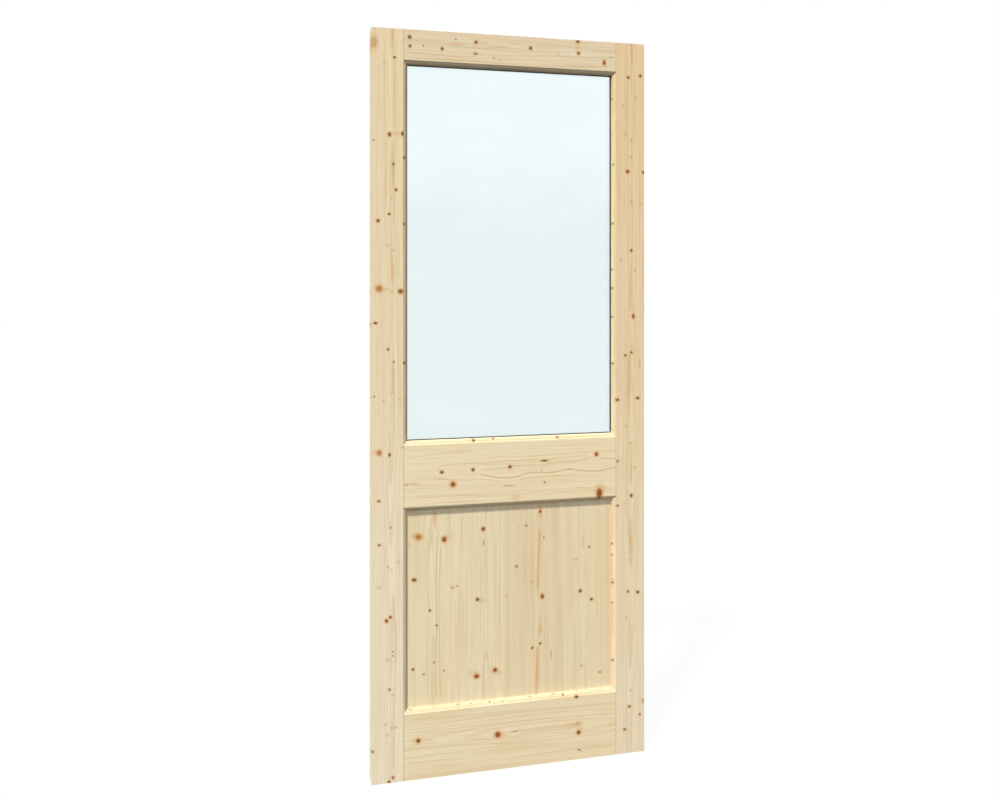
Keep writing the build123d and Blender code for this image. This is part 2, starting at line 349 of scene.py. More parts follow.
def pine(name, grain, low_colour, high_colour, knots=(), bands=(), lines=(), pith=(40.0, 34.0, 1.0), spacing=3.2,
         contrast=0.30, wander=26.0, staves=None, face_depth=0.0, joints=(), moulding_shade=0.0):
    """Pine for one member. Its grain runs up the leaf ("z") or across it ("x")."""
    made, graph, shader = new_material(name)
    x, y, z = graph.parts(leaf_place(graph))
    mark_x = graph.math("SUBTRACT", x, RULER_START[0])
    mark_z = graph.math("SUBTRACT", z, RULER_START[1])
    across, along, deep = (x, z, y) if grain == "z" else (z, x, y)
    mark_across, mark_along = (mark_x, mark_z) if grain == "z" else (mark_z, mark_x)
    length = LEAF_HEIGHT if grain == "z" else LEAF_WIDTH
    bent = across
    if knots:
        under_face = graph.math("SUBTRACT", deep, face_depth)
        near, look, bent = knot_field(graph, mark_across, mark_along, under_face, knots)
    if staves:
        edges, pith_places, tones = staves
        pith_across = by_stave(graph, across, edges, pith_places)
        bent = graph.math("ADD", graph.math("SUBTRACT", bent, pith_across), pith[0])
    late, tone = ring_field(graph, bent, along, deep, pith, spacing, wander)

    low_share = graph.math("DIVIDE", along, length)
    colour = graph.mix(low_share, low_colour, high_colour)
    if staves:
        tint = by_stave(graph, across, edges, tones)
        paler = graph.math("MULTIPLY", tint, -1.0)
        colour = graph.mix(graph.math("MAXIMUM", tint, 0.0), colour, linear(214, 186, 148))
        colour = graph.mix(graph.math("MAXIMUM", paler, 0.0), colour, linear(238, 230, 188))
    grain_point = graph.join(across, along, deep)
    broad = graph.noise(graph.stretched(grain_point, 26.0, 700.0, 26.0), detail=2.0)
    colour = graph.mix(graph.step(broad, 0.50, 0.75, 0.0, 0.24), colour, ROSE)
    colour = graph.mix(graph.step(broad, 0.50, 0.28, 0.0, 0.30), colour, STRAW)
    narrow = graph.noise(graph.stretched(grain_point, 5.0, 240.0, 5.0), detail=3.0, roughness=0.6)
    colour = graph.mix(graph.step(narrow, 0.42, 0.80, 0.0, 0.30), colour, linear(204, 168, 112))
    strength = graph.math("MULTIPLY", late, graph.math("MULTIPLY_ADD", tone, contrast, contrast * 0.45))
    colour = graph.mix(strength, colour, LATE_WOOD)
    colour = streaks(graph, colour, mark_across, mark_along, bands)
    colour = drawn_lines(graph, colour, mark_across, mark_along, lines)

    fibre = graph.noise(graph.stretched(grain_point, 0.55, 42.0, 0.55), detail=3.0, roughness=0.62)
    colour = graph.mix(graph.step(fibre, 0.30, 0.72, 0.14, 0.0), colour, linear(190, 150, 94))
    ducts = graph.noise(graph.stretched(grain_point, 0.42, 5.5, 0.42), detail=1.0)
    colour = graph.mix(graph.step(ducts, 0.70, 0.80, 0.0, 0.36), colour, DUCT)

    gloss = graph.math("MULTIPLY_ADD", fibre, -0.10, 0.66)
    if knots:
        heart, red, halo = graph.parts(look)
        warm = graph.mix(graph.math("POWER", red, 0.6), HALO_GREY, HALO_WARM)
        colour = graph.mix(graph.math("MULTIPLY", graph.step(near, 2.6, 0.9), graph.math("MULTIPLY", halo, 0.85)),
                           colour, warm)
        core = graph.mix(graph.step(red, 0.0, 0.35), KNOT_HEART_GREY, KNOT_HEART_DARK)
        core = graph.mix(graph.step(red, 0.4, 1.0), core, KNOT_HEART_RED)
        swirl = graph.math("FRACT", graph.math("MULTIPLY", near, 3.2))
        core = graph.mix(graph.step(swirl, 0.4, 1.0, 0.0, 0.35), core, KNOT_RIM)
        colour = graph.mix(graph.math("MULTIPLY", graph.step(near, 1.3, 0.55), heart), colour, core)
        ring = graph.math("MULTIPLY", graph.step(near, 0.62, 0.95), graph.step(near, 0.98, 1.18, 1.0, 0.0))
        colour = graph.mix(graph.math("MULTIPLY", ring, graph.math("MULTIPLY", heart, 0.55)), colour, KNOT_RIM)
        in_knot = graph.math("MULTIPLY", graph.step(near, 1.1, 0.8), heart)
        gloss = graph.math("MULTIPLY_ADD", in_knot, -0.18, gloss)

    # Painted shade: a soft dark line on each rail's end where it meets a stile, stronger at the left stile
    for place, strength in joints:
        off = graph.math("ABSOLUTE", graph.math("SUBTRACT", along, place))
        colour = graph.mix(graph.step(off, 2.6, 0.2, 0.0, strength), colour, JOINT_SHADE)

    normal = graph.parts(graph.node("ShaderNodeNewGeometry").outputs["True Normal"])
    end = graph.step(graph.math("ABSOLUTE", normal[2 if grain == "z" else 0]), 0.6, 0.95)
    # Painted shade: the mouldings' sloping faces are made darker, more so for a higher strength
    if moulding_shade:
        facing = graph.math("ABSOLUTE", normal[1])
        moulded = graph.math("MULTIPLY", graph.step(facing, 0.15, 0.35), graph.step(facing, 0.998, 0.95))
        tone = (*(share ** moulding_shade for share in PAINTED_MOULDING_SHADE), 1.0)
        colour = graph.mix(moulded, colour, tone, blend="MULTIPLY")
    colour = graph.mix(graph.math("MULTIPLY", end, 0.35), colour, linear(196, 160, 112))
    graph.plug(shader.inputs["Base Color"], colour)
    graph.plug(shader.inputs["Roughness"], graph.math("MULTIPLY_ADD", end, 0.15, gloss))
    shader.inputs["Specular IOR Level"].default_value = 0.22
    bump = graph.node("ShaderNodeBump", {"Strength": 0.35, "Distance": 0.0002, "Height": fibre})
    graph.plug(shader.inputs["Normal"], bump.outputs[0])
    return made


# The left stile's marks: across from the left edge, up from the bottom edge, width, height and look
LEFT_STILE_KNOTS = [
    (5, 1943, 15, 24, "stain"), (59, 1906, 6, 6, "dark"), (32, 1893, 6, 6, "faint"), (46, 1703, 8, 10, "red"),
    (80, 1706, 6, 10, "dark"), (4, 1687, 5, 5, "grey"), (86, 1644, 6, 6, "dark"), (56, 1625, 5, 8, "dark"),
    (63, 1558, 6, 7, "dark"), (52, 1538, 5, 6, "faint"), (45, 1494, 6, 6, "dark"), (16, 1476, 8, 8, "dark"),
    (84, 1469, 5, 6, "dark"), (39, 1412, 6, 6, "faint"), (57, 1399, 6, 6, "faint"), (18.5, 1298.5, 13, 13, "warm"),
    (53, 1290, 7, 5, "faint"), (75, 1291, 11.5, 10.5, "red"), (9, 1208, 9, 6, "dark"), (42, 1139, 5.5, 6, "dark"),
    (57, 1106, 5, 5, "brown"), (86, 1103, 6, 6, "dark"), (52, 1026, 5, 5, "faint"), (6, 1016, 5, 5, "grey"),
    (30, 1003, 6, 6, "faint"), (73, 1006, 5, 5, "faint"), (19, 868.5, 9.5, 11, "warm"), (46, 862, 6, 8, "dark"),
    (80, 880, 6, 6, "faint"), (18, 742, 8, 6, "brown"), (49, 671, 5, 5, "grey"), (19, 627, 7, 6, "brown"),
    (42, 568, 6.5, 6.5, "faint"), (69, 580, 6, 6, "faint"), (52, 560, 5, 5, "faint"), (19, 516, 7, 6, "faint"),
    (38, 427, 8, 8, "red"), (48, 436, 7, 7, "red"), (55, 345, 4, 5, "grey"), (55, 334, 4, 4, "grey"),
    (42, 324, 8, 8, "faint"), (46, 246, 6, 6, "brown"), (55, 231, 5, 6, "faint"), (36, 156, 7, 6, "faint"),
    (52, 145, 6, 6, "faint"), (63, 145, 6, 6, "faint"), (40, 127, 6, 6, "faint"), (2, 88, 7, 8, "grey"),
    (55, 14, 7, 8, "brown"), (45, 4, 7, 6, "dark"),
]
LEFT_STILE_BANDS = [
    (55, 1960, 5, 75, 0.46, RESIN), (58, 1820, 8, 150, 0.26, RESIN), (28, 1800, 10, 190, 0.18, ROSE),
    (67, 1706, 16, 8, 0.40, HALO_WARM), (59, 1655, 3, 30, 0.35, RESIN), (55, 1600, 4, 50, 0.42, RESIN),
    (54, 1345, 8, 55, 0.52, RESIN), (44, 1460, 40, 220, 0.08, RESIN), (50, 1400, 5, 60, 0.22, RESIN), (53, 1085, 8, 55, 0.24, RESIN),
    (38, 1180, 5, 150, 0.18, ROSE), (48, 900, 6, 28, 0.34, STRAW), (33, 1297, 16, 9, 0.40, HALO_WARM),
    (12, 870, 18, 12, 0.34, HALO_WARM), (52, 60, 7, 70, 0.30, STRAW), (26, 300, 5, 300, 0.16, ROSE),
    (68, 600, 8, 260, 0.14, STRAW),
]

LEFT_STILE_LINES = [
    (((1530, 58), (1600, 54), (1700, 58), (1800, 56), (1900, 58), (1985, 54)), 8.0, 0.13, RESIN),
    (((1500, 34), (1640, 38), (1800, 33), (1985, 37)), 2.4, 0.20, GROWTH_LINE),
    (((1010, 55), (1100, 57), (1180, 54), (1260, 60)), 6.0, 0.14, RESIN),
]

RIGHT_STILE_KNOTS = [
    (713, 1887, 7, 7, "dark"), (749, 1893, 7.5, 7, "dark"), (735, 1832, 7, 7, "faint"), (697, 1807, 8, 7, "faint"),
    (669, 1827, 4, 5, "grey"), (705, 1728, 8, 8, "faint"), (722, 1711, 6, 9, "faint"), (722, 1665, 6, 7, "faint"),
    (711, 1624, 9, 9, "red"), (758, 1623, 7, 8, "dark"), (723, 1540, 5, 14, "faint"), (748, 1536, 6, 6, "faint"),
    (722, 1404, 7, 7, "dark"), (691, 1376, 7, 6, "faint"), (669, 1352, 4, 6, "grey"), (732, 1348, 5, 10, "faint"),
    (728, 1220, 7, 11, "red"), (670, 1220, 4, 6, "grey"), (722, 1119, 6, 6, "dark"), (704, 1111, 6.5, 6, "dark"),
    (747, 1090, 4, 20, "faint"), (681, 988, 8, 7, "red"), (741, 991, 9, 7, "dark"), (708, 914, 7, 6, "faint"),
    (719, 866, 7, 7, "faint"), (681, 817, 5, 7, "brown"), (732, 798, 7, 7, "faint"), (722, 719, 7.5, 8.5, "dark"),
    (681, 693, 7, 6, "brown"), (670, 588, 4, 5, "grey"), (717, 540, 6, 6, "faint"), (669, 557, 4, 5, "grey"),
    (668, 490, 4, 5, "grey"), (671, 480, 4, 7, "grey"), (669, 424, 4, 5, "grey"), (712, 452, 7, 7, "brown"),
    (741, 448, 8, 7, "dark"), (707, 380, 6, 6, "faint"), (671, 264, 4, 7, "grey"), (716, 130, 8, 7, "brown"),
    (747, 105, 6, 6, "brown"), (757, 142, 7, 10, "stain"), (702, 68, 8, 7, "brown"), (720, 175, 6, 8, "faint"),
    (672, 1644, 4, 6, "grey"), (671, 1480, 4, 6, "grey"), (670, 1300, 4, 6, "grey"), (671, 1090, 4, 6, "grey"),
]
RIGHT_STILE_BANDS = [
    (724, 1950, 5, 60, 0.60, RESIN), (722, 1860, 5, 60, 0.35, RESIN), (708, 1790, 9, 130, 0.07, RESIN),
    (733, 1780, 6, 140, 0.24, RESIN), (722, 1560, 5, 70, 0.28, STRAW), (720, 1305, 3, 62, 0.25, RESIN),
    (718, 1440, 8, 70, 0.20, STRAW), (717, 1050, 5, 70, 0.20, RESIN), (715, 962, 5, 40, 0.36, RESIN),
    (722, 860, 16, 70, 0.20, STRAW), (720, 784, 3.5, 30, 0.42, RESIN), (720, 592, 5, 50, 0.66, RESIN),
    (720, 640, 6, 30, 0.30, RESIN), (718, 355, 3, 35, 0.34, RESIN), (720, 300, 9, 90, 0.18, STRAW),
    (716, 95, 10, 60, 0.18, STRAW), (722, 55, 3, 16, 0.35, STRAW), (686, 1500, 5, 420, 0.12, ROSE),
    (748, 1250, 6, 500, 0.12, ROSE), (714, 1100, 44, 230, 0.13, RESIN), (704, 697, 12, 6, 0.30, HALO_WARM), (694, 820, 18, 10, 0.30, ROSE),
]

RIGHT_STILE_LINES = [
    (((1240, 718), (1300, 719), (1366, 721)), 4.0, 0.45, RESIN),
    (((985, 713), (1050, 715), (1116, 717)), 5.5, 0.50, RESIN),
    (((1885, 722), (1940, 723), (1985, 724)), 4.5, 0.34, RESIN),
]

# The rails' marks: up from the bottom edge, across from the left edge, height, width and look
TOP_RAIL_KNOTS = [
    (1962, 99, 9, 8, "dark"), (1938, 100, 7, 7, "dark"), (1941, 136, 5, 5, "grey"), (1936, 186, 8, 7, "dark"),
    (1963, 223, 5, 5, "grey"), (1959, 278, 8, 8, "dark"), (1928, 277, 6, 8, "brown"), (1920, 327, 7, 9, "faint"),
    (1913, 346, 5, 5, "faint"), (1952, 430, 8, 8, "dark"), (1978, 565, 7, 10, "dark"), (1946, 567, 7, 8, "dark"),
    (1938, 508, 6, 5, "faint"), (1924, 642, 12, 7.5, "red"), (1941, 662, 5, 9, "faint"), (1950, 271, 4, 4, "faint"),
]
TOP_RAIL_BANDS = [
    (1950, 222, 6, 34, 0.46, RESIN), (1951, 350, 5, 38, 0.44, RESIN), (1958, 292, 6, 26, 0.40, HALO_WARM),
    (1960, 480, 8, 40, 0.22, RESIN), (1928, 285, 5, 24, 0.30, HALO_WARM), (1962, 563, 14, 9, 0.42, HALO_WARM),
    (1963, 390, 8, 34, 0.18, RESIN), (1908, 220, 6, 60, 0.20, RESIN), (1940, 160, 6, 40, 0.16, ROSE),
]
TOP_RAIL_LINES = [
    (((85, 1921), (140, 1922), (200, 1918), (280, 1922)), 1.8, 0.34, GROWTH_LINE),
    (((300, 1944), (380, 1948), (470, 1944), (560, 1950), (670, 1952)), 1.8, 0.30, GROWTH_LINE),
    (((90, 1906), (250, 1908), (400, 1904), (560, 1909), (670, 1916)), 2.0, 0.40, GROWTH_LINE),
    (((200, 1944), (300, 1943), (400, 1940)), 1.5, 0.34, GROWTH_LINE),
]

MIDDLE_RAIL_KNOTS = [
    (810, 185, 7, 9, "red"), (776, 215.5, 12, 12, "red"), (812.5, 270, 8, 8, "dark"), (815.5, 372, 8, 8, "dark"),
    (828, 469, 4.5, 16, "dark"), (839, 619, 10, 9, "red"), (731, 627.5, 23, 15, "deep"),
    (781.5, 90, 5, 8, "stain"), (769, 470, 6, 6, "grey"), (801, 461, 6, 4, "faint"), (802, 540, 4, 6, "faint"),
    (764.5, 368, 1.8, 24, "brown"), (892, 273, 7, 7, "dark"), (895, 328, 5, 5, "dark"), (891, 507.5, 6, 7, "brown"),
]
MIDDLE_RAIL_BANDS = [
    (745, 300, 12, 260, 0.14, HALO_WARM), (742, 560, 9, 130, 0.16, HALO_WARM), (782, 110, 5, 24, 0.55, RESIN),
    (732, 388, 14, 18, 0.34, HALO_WARM), (742, 632, 14, 24, 0.45, HALO_WARM), (862, 235, 8, 44, 0.22, RESIN),
    (806, 235, 9, 34, 0.20, HALO_WARM),
    (770, 530, 8, 50, 0.20, STRAW), (760, 630, 22, 18, 0.26, STRAW), (829, 468, 4, 22, 0.50, HALO_WARM),
    (729, 220, 4, 130, 0.26, RESIN), (805, 140, 24, 60, 0.16, STRAW),
]
MIDDLE_RAIL_LINES = [
    (((272, 809), (320, 792.5), (370, 787), (410, 793), (428, 796.5), (486, 795), (512, 797.5), (537, 801.5),
      (562, 797.5), (591, 794.6), (624, 793.3), (653, 797.5), (679, 800.5), (702, 802)), 2.5, 0.72, GROWTH_LINE),
    (((282, 812), (320, 812), (358, 814), (378, 818), (416, 817.5), (462, 817.5), (512, 821), (558, 822),
      (590, 828.5), (612, 833)), 2.1, 0.55, GROWTH_LINE),
    (((626, 830), (653, 825.8), (680, 824.5), (700, 824)), 2.4, 0.62, GROWTH_LINE),
    (((153, 796), (203, 789), (241, 786.5), (295, 784.5), (345, 780)), 2.0, 0.44, GROWTH_LINE),
    (((395, 780), (437, 784), (487, 786), (528, 786), (566, 785)), 2.0, 0.52, GROWTH_LINE),
    (((162, 812), (176, 824), (200, 829), (260, 830), (320, 829), (345, 832), (410, 831), (455, 833)), 1.8, 0.42,
     GROWTH_LINE),
    (((484, 833), (530, 836), (600, 838)), 1.7, 0.38, GROWTH_LINE),
    (((300, 843), (362, 844.5), (428, 842.5), (491, 844.5), (560, 843)), 1.7, 0.36, GROWTH_LINE),
    (((162, 808), (172, 797), (196, 793)), 1.8, 0.36, GROWTH_LINE),
    (((248, 806), (258, 800), (276, 799)), 2.0, 0.42, GROWTH_LINE),
    (((88, 853), (116, 854), (152, 857)), 1.5, 0.40, GROWTH_LINE),
    (((90, 838), (140, 837), (200, 840)), 1.5, 0.24, GROWTH_LINE),
    (((100, 779), (170, 775), (230, 773)), 1.5, 0.32, GROWTH_LINE),
    (((115, 771), (165, 769), (225, 766)), 1.5, 0.28, GROWTH_LINE),
    (((400, 771), (470, 774), (560, 772)), 1.4, 0.22, GROWTH_LINE),
    (((90, 744), (230, 746), (330, 739), (480, 747), (560, 750), (612, 741)), 1.8, 0.28, GROWTH_LINE),
    (((180, 731), (280, 728), (400, 729)), 1.0, 0.30, RESIN),
    (((560, 752), (600, 747), (622, 752)), 1.4, 0.40, RESIN),
    (((90, 868), (250, 867), (420, 870), (560, 866), (670, 868)), 1.5, 0.20, GROWTH_LINE),
]

BOTTOM_RAIL_KNOTS = [
    (103, 122, 10, 9, "dark"), (95, 338, 13.5, 13, "red"), (75, 567, 10, 10, "dark"), (99, 566, 10, 14, "faint"),
    (27, 568, 4, 9, "grey"), (24, 573, 4, 6, "grey"), (174, 561, 7, 9, "dark"), (98, 385, 5, 14, "faint"),
    (186, 267, 4, 4, "grey"), (185, 318, 5, 5, "grey"), (184, 353, 4, 4, "grey"), (183, 524, 9, 5, "grey"),
    (187, 103, 3, 10, "tan"), (187, 167, 3, 8, "faint"), (187, 233, 3, 10, "tan"), (187, 296, 3, 9, "faint"),
    (187, 365.5, 3, 9, "faint"), (187, 431.5, 3, 9, "tan"), (187, 498, 3, 10, "tan"), (187, 566, 3, 7, "faint"),
    (187, 634.5, 3, 7, "faint"),
]
BOTTOM_RAIL_BANDS = [
    (104, 122, 10, 26, 0.45, HALO_WARM), (101, 150, 4, 14, 0.40, RESIN), (94, 345, 12, 34, 0.40, HALO_WARM),
    (99, 385, 4, 18, 0.40, RESIN), (99, 555, 7, 34, 0.45, HALO_WARM), (84, 574, 9, 20, 0.34, HALO_WARM),
    (148, 480, 4, 230, 0.18, RESIN), (155, 200, 10, 160, 0.18, HALO_WARM), (8, 300, 10, 320, 0.22, RESIN),
    (30, 630, 5, 60, 0.20, RESIN), (60, 420, 20, 120, 0.12, STRAW),
]
BOTTOM_RAIL_LINES = [
    (((87, 127), (180, 125), (320, 126), (460, 123), (560, 119), (680, 124)), 1.7, 0.30, GROWTH_LINE),
    (((130, 119), (240, 117), (330, 111), (420, 114), (560, 112)), 1.5, 0.26, GROWTH_LINE),
    (((95, 92), (140, 93), (220, 84), (300, 87), (322, 82), (345, 75), (380, 84), (430, 90)), 1.8, 0.34, GROWTH_LINE),
    (((95, 83), (150, 84), (230, 79), (310, 78), (345, 69), (385, 76), (470, 82), (560, 66)), 1.7, 0.32, GROWTH_LINE),
    (((590, 78), (612, 83), (640, 85), (680, 86)), 1.8, 0.40, GROWTH_LINE),
    (((590, 64), (630, 62), (680, 66)), 1.5, 0.26, GROWTH_LINE),
    (((87, 48), (170, 46), (240, 44)), 1.7, 0.34, GROWTH_LINE),
    (((360, 23), (440, 29), (520, 30), (600, 31), (680, 26)), 1.7, 0.36, GROWTH_LINE),
    (((150, 31), (240, 28), (330, 33)), 1.5, 0.28, GROWTH_LINE),
    (((300, 54), (400, 50), (500, 47), (600, 45)), 1.5, 0.24, GROWTH_LINE),
    (((120, 142), (300, 147), (480, 149), (680, 144)), 1.8, 0.34, GROWTH_LINE),
    (((100, 160), (260, 157), (400, 154)), 1.5, 0.22, GROWTH_LINE),
]

PANEL_KNOTS = [
    (122.5, 641.5, 14, 12, "warm"), (191.5, 631, 11, 12.5, "red"), (298, 652, 9, 10, "dark"), (457, 690, 7, 7, "red"),
    (111, 529, 11, 8, "dark"), (226, 504.5, 5, 5, "tan"), (214, 501, 7, 5, "tan"), (282, 464, 8.5, 8, "dark"),
    (463, 458, 8.5, 11.5, "red"), (572, 464.5, 8, 8, "dark"), (604.5, 439, 7.5, 7, "dark"), (153, 445, 5, 6, "dark"),
    (171, 404, 5, 5, "dark"), (108, 293, 6, 6, "dark"), (136, 277.5, 7, 5, "tan"), (164, 306.5, 6, 6, "tan"),
    (191, 282, 6, 5, "tan"), (279.5, 258, 12.5, 10.5, "red"), (330.5, 270, 10, 10, "red"), (457, 330, 6, 6, "dark"),
    (435, 320, 6, 6, "dark"), (488, 298, 2.4, 22, "tan"), (576, 258, 6, 5, "tan"), (629, 235, 9, 6, "tan"),
    (391, 545, 7, 9, "grey"), (418, 654, 6, 6, "grey"), (362, 467, 5, 7, "faint"), (467.5, 619, 4, 8, "tan"),
    (598, 584, 7, 6, "tan"), (553, 553, 5, 5, "faint"), (562.5, 552.5, 5, 5, "faint"),
    (434, 500, 6, 6, "faint"), (96, 625, 5, 6, "faint"), (299, 614, 3.5, 13, "tan"), (395, 654, 4, 4, "faint"),
]
PANEL_BANDS = [
    (165, 690, 11, 34, 0.48, RESIN), (158, 638, 5, 34, 0.30, RESIN), (112, 646, 16, 14, 0.42, HALO_WARM),
    (205, 636, 16, 14, 0.30, HALO_WARM), (455, 622, 5, 32, 0.45, RESIN), (453, 570, 7, 60, 0.25, RESIN),
    (451, 500, 5, 44, 0.45, RESIN), (457, 690, 7, 24, 0.55, RESIN), (448, 262, 7, 86, 0.35, RESIN),
    (456, 365, 7, 28, 0.48, RESIN), (457, 405, 7, 26, 0.30, STRAW), (436, 560, 9, 130, 0.30, STRAW),
    (238, 380, 9, 190, 0.34, ROSE), (302, 550, 11, 110, 0.34, STRAW), (296, 460, 16, 10, 0.34, RESIN),
    (654, 430, 15, 560, 0.28, RESIN), (636, 420, 9, 420, 0.10, RESIN), (581, 600, 5, 36, 0.42, RESIN),
    (590, 500, 10, 90, 0.16, STRAW), (512, 330, 8, 190, 0.22, STRAW), (412, 560, 36, 220, 0.16, ROSE),
    (163, 345, 9, 48, 0.26, STRAW), (270, 268, 26, 14, 0.30, HALO_WARM), (338, 262, 20, 12, 0.28, HALO_WARM),
    (306, 310, 7, 26, 0.34, STRAW), (600, 300, 26, 130, 0.12, STRAW),
]
PANEL_LINES = [
    (((470, 450), (520, 451), (580, 453), (644, 457)), 6.5, 0.36, RESIN),
    (((176, 446), (240, 447), (290, 450), (328, 452)), 7.0, 0.54, RESIN),
    (((355, 450), (380, 457), (405, 463)), 1.6, 0.50, RESIN),
    (((355, 464), (380, 458), (405, 452)), 1.6, 0.50, RESIN),
    (((196, 149), (300, 146), (450, 149), (540, 144), (620, 148), (650, 140)), 1.8, 0.42, GROWTH_LINE),
    (((196, 171), (320, 168), (420, 172), (520, 170), (620, 173), (655, 176)), 2.2, 0.60, GROWTH_LINE),
    (((196, 181), (300, 180), (430, 178), (560, 180), (625, 186)), 2.0, 0.50, GROWTH_LINE),
    (((430, 152), (520, 150), (620, 153), (640, 158), (656, 162)), 1.5, 0.40, GROWTH_LINE),
    (((640, 182), (660, 171), (680, 168), (706, 169)), 1.4, 0.46, RESIN),
    (((640, 146), (660, 155), (680, 158), (706, 157)), 1.4, 0.46, RESIN),
    (((655, 137), (680, 140), (706, 141)), 1.7, 0.34, GROWTH_LINE),
    (((196, 296), (260, 298), (300, 301), (322, 304)), 1.7, 0.36, GROWTH_LINE),
    (((196, 318), (260, 316), (300, 311), (322, 308)), 1.7, 0.36, GROWTH_LINE),
    (((300, 292), (460, 291), (640, 294)), 1.5, 0.22, GROWTH_LINE),
    (((196, 343), (400, 342), (600, 344), (706, 342)), 1.5, 0.28, GROWTH_LINE),
    (((322, 158), (350, 161), (380, 163)), 1.7, 0.34, GROWTH_LINE),
    (((322, 176), (345, 172), (380, 166)), 1.7, 0.34, GROWTH_LINE),
]
PANEL_STAVES = ((230, 361, 511), (160, 300, 455, 590), (-0.10, 0.04, 0.24, 0.12))


def on_panel(across, along):
    """A place read on the plane of the leaf's face, moved to where the sunk panel shows it."""
    return tuple(
        place + (place - foot) * PANEL_DEPTH / CAMERA_DISTANCE
        for place, foot in ((across, CAMERA_FOOT[0]), (along, CAMERA_FOOT[1]))
    )


panel_knots = [(*on_panel(across, along), *rest) for across, along, *rest in PANEL_KNOTS]
panel_bands = [(*on_panel(across, along), *rest) for across, along, *rest in PANEL_BANDS]
panel_lines = [
    (tuple(on_panel(across, along)[::-1] for along, across in points), *rest) for points, *rest in PANEL_LINES
]
panel_edges, panel_piths, panel_tones = PANEL_STAVES
panel_staves = (tuple(on_panel(edge, 0.0)[0] for edge in panel_edges), panel_piths, panel_tones)

stile_low, stile_high = linear(243, 235, 209), linear(239, 223, 186)
right_low, right_high = linear(239, 227, 199), linear(236, 212, 170)
# Where the rails' ends meet the stiles, and the strength of the painted shade line at each
RAIL_ENDS = ((84.0, 0.78), (678.0, 0.46))

# The left stile and the rails get painted shade on their mouldings, strongest on the left stile and weakest on the
# bottom rail
wear("left_stile", pine("pine_left_stile", "z", stile_low, stile_high, LEFT_STILE_KNOTS, LEFT_STILE_BANDS,
                        LEFT_STILE_LINES, pith=(54.0, 26.0, 3.1), contrast=0.24, moulding_shade=1.3))
wear("right_stile", pine("pine_right_stile", "z", right_low, right_high, RIGHT_STILE_KNOTS, RIGHT_STILE_BANDS,
                         RIGHT_STILE_LINES, pith=(720.0, 30.0, 9.4), contrast=0.24))
wear("top_rail", pine("pine_top_rail", "x", linear(233, 218, 186), linear(234, 220, 190), TOP_RAIL_KNOTS,
                      TOP_RAIL_BANDS, TOP_RAIL_LINES, pith=(1950.0, 40.0, 5.2), contrast=0.22, joints=RAIL_ENDS,
                      moulding_shade=1.0))
wear("middle_rail", pine("pine_middle_rail", "x", linear(242, 229, 196), linear(241, 226, 191), MIDDLE_RAIL_KNOTS,
                         MIDDLE_RAIL_BANDS, MIDDLE_RAIL_LINES, pith=(806.0, 52.0, 6.6), spacing=4.2, contrast=0.08,
                         joints=RAIL_ENDS, moulding_shade=1.0))
wear("bottom_rail", pine("pine_bottom_rail", "x", linear(240, 227, 194), linear(239, 223, 188), BOTTOM_RAIL_KNOTS,
                         BOTTOM_RAIL_BANDS, BOTTOM_RAIL_LINES, pith=(94.0, 60.0, 8.8), spacing=3.6, contrast=0.18,
                         joints=RAIL_ENDS, moulding_shade=0.6))
wear("lower_panel", pine("pine_lower_panel", "z", linear(239, 227, 195), linear(238, 226, 192), panel_knots,
                         panel_bands, panel_lines, pith=(160.0, 30.0, 2.2), spacing=3.4, contrast=0.15,
                         staves=panel_staves, face_depth=PANEL_DEPTH))

for side, grain, pith in (("left", "z", (90.0, 60.0, 11.0)), ("right", "z", (660.0, 70.0, 12.0)),
                          ("top", "x", (1880.0, 60.0, 13.0)), ("bottom", "x", (900.0, 70.0, 14.0))):
    bead_low, bead_high = linear(238, 224, 190), linear(236, 220, 183)
    wear(f"{side}_glazing_bead", pine(f"pine_{side}_glazing_bead", grain, bead_low, bead_high, pith=pith,
                                      spacing=2.8, contrast=0.26))


def beech(name):
    """Turned dowels: pinkish, close grained, with the short dark flecks of their rays."""
    made, graph, shader = new_material(name)
    place = leaf_place(graph)
    pores = graph.noise(graph.stretched(place, 60.0, 2.4, 2.4), detail=3.0)
    flecks = graph.noise(graph.stretched(place, 3.0, 0.5, 0.5), detail=1.0)
    colour = graph.mix(graph.step(pores, 0.3, 0.7), linear(214, 176, 138), linear(190, 146, 106))
    colour = graph.mix(graph.step(flecks, 0.62, 0.74, 0.0, 0.5), colour, linear(150, 104, 68))
    graph.plug(shader.inputs["Base Color"], colour)
    graph.plug(shader.inputs["Roughness"], graph.step(pores, 0.3, 0.7, 0.52, 0.64))
    bump = graph.node("ShaderNodeBump", {"Strength": 0.3, "Distance": 0.0002, "Height": pores})
    graph.plug(shader.inputs["Normal"], bump.outputs[0])
    return made


def metal(name, colour, worn, roughness, grain):
    """A drawn or rolled metal, with fine marks along its length and a little dulling."""
    made, graph, shader = new_material(name)
    place = leaf_place(graph)
    marks = graph.noise(graph.stretched(place, *grain), detail=3.0)
    cloud = graph.noise(graph.stretched(place, 14.0, 14.0, 14.0), detail=2.0)
    graph.plug(shader.inputs["Base Color"], graph.mix(graph.step(cloud, 0.35, 0.7), colour, worn))
    graph.plug(shader.inputs["Roughness"], graph.step(marks, 0.2, 0.8, roughness - 0.07, roughness + 0.09))
    shader.inputs["Metallic"].default_value = 1.0
    bump = graph.node("ShaderNodeBump", {"Strength": 0.2, "Distance": 0.0001, "Height": marks})
    graph.plug(shader.inputs["Normal"], bump.outputs[0])
    return made


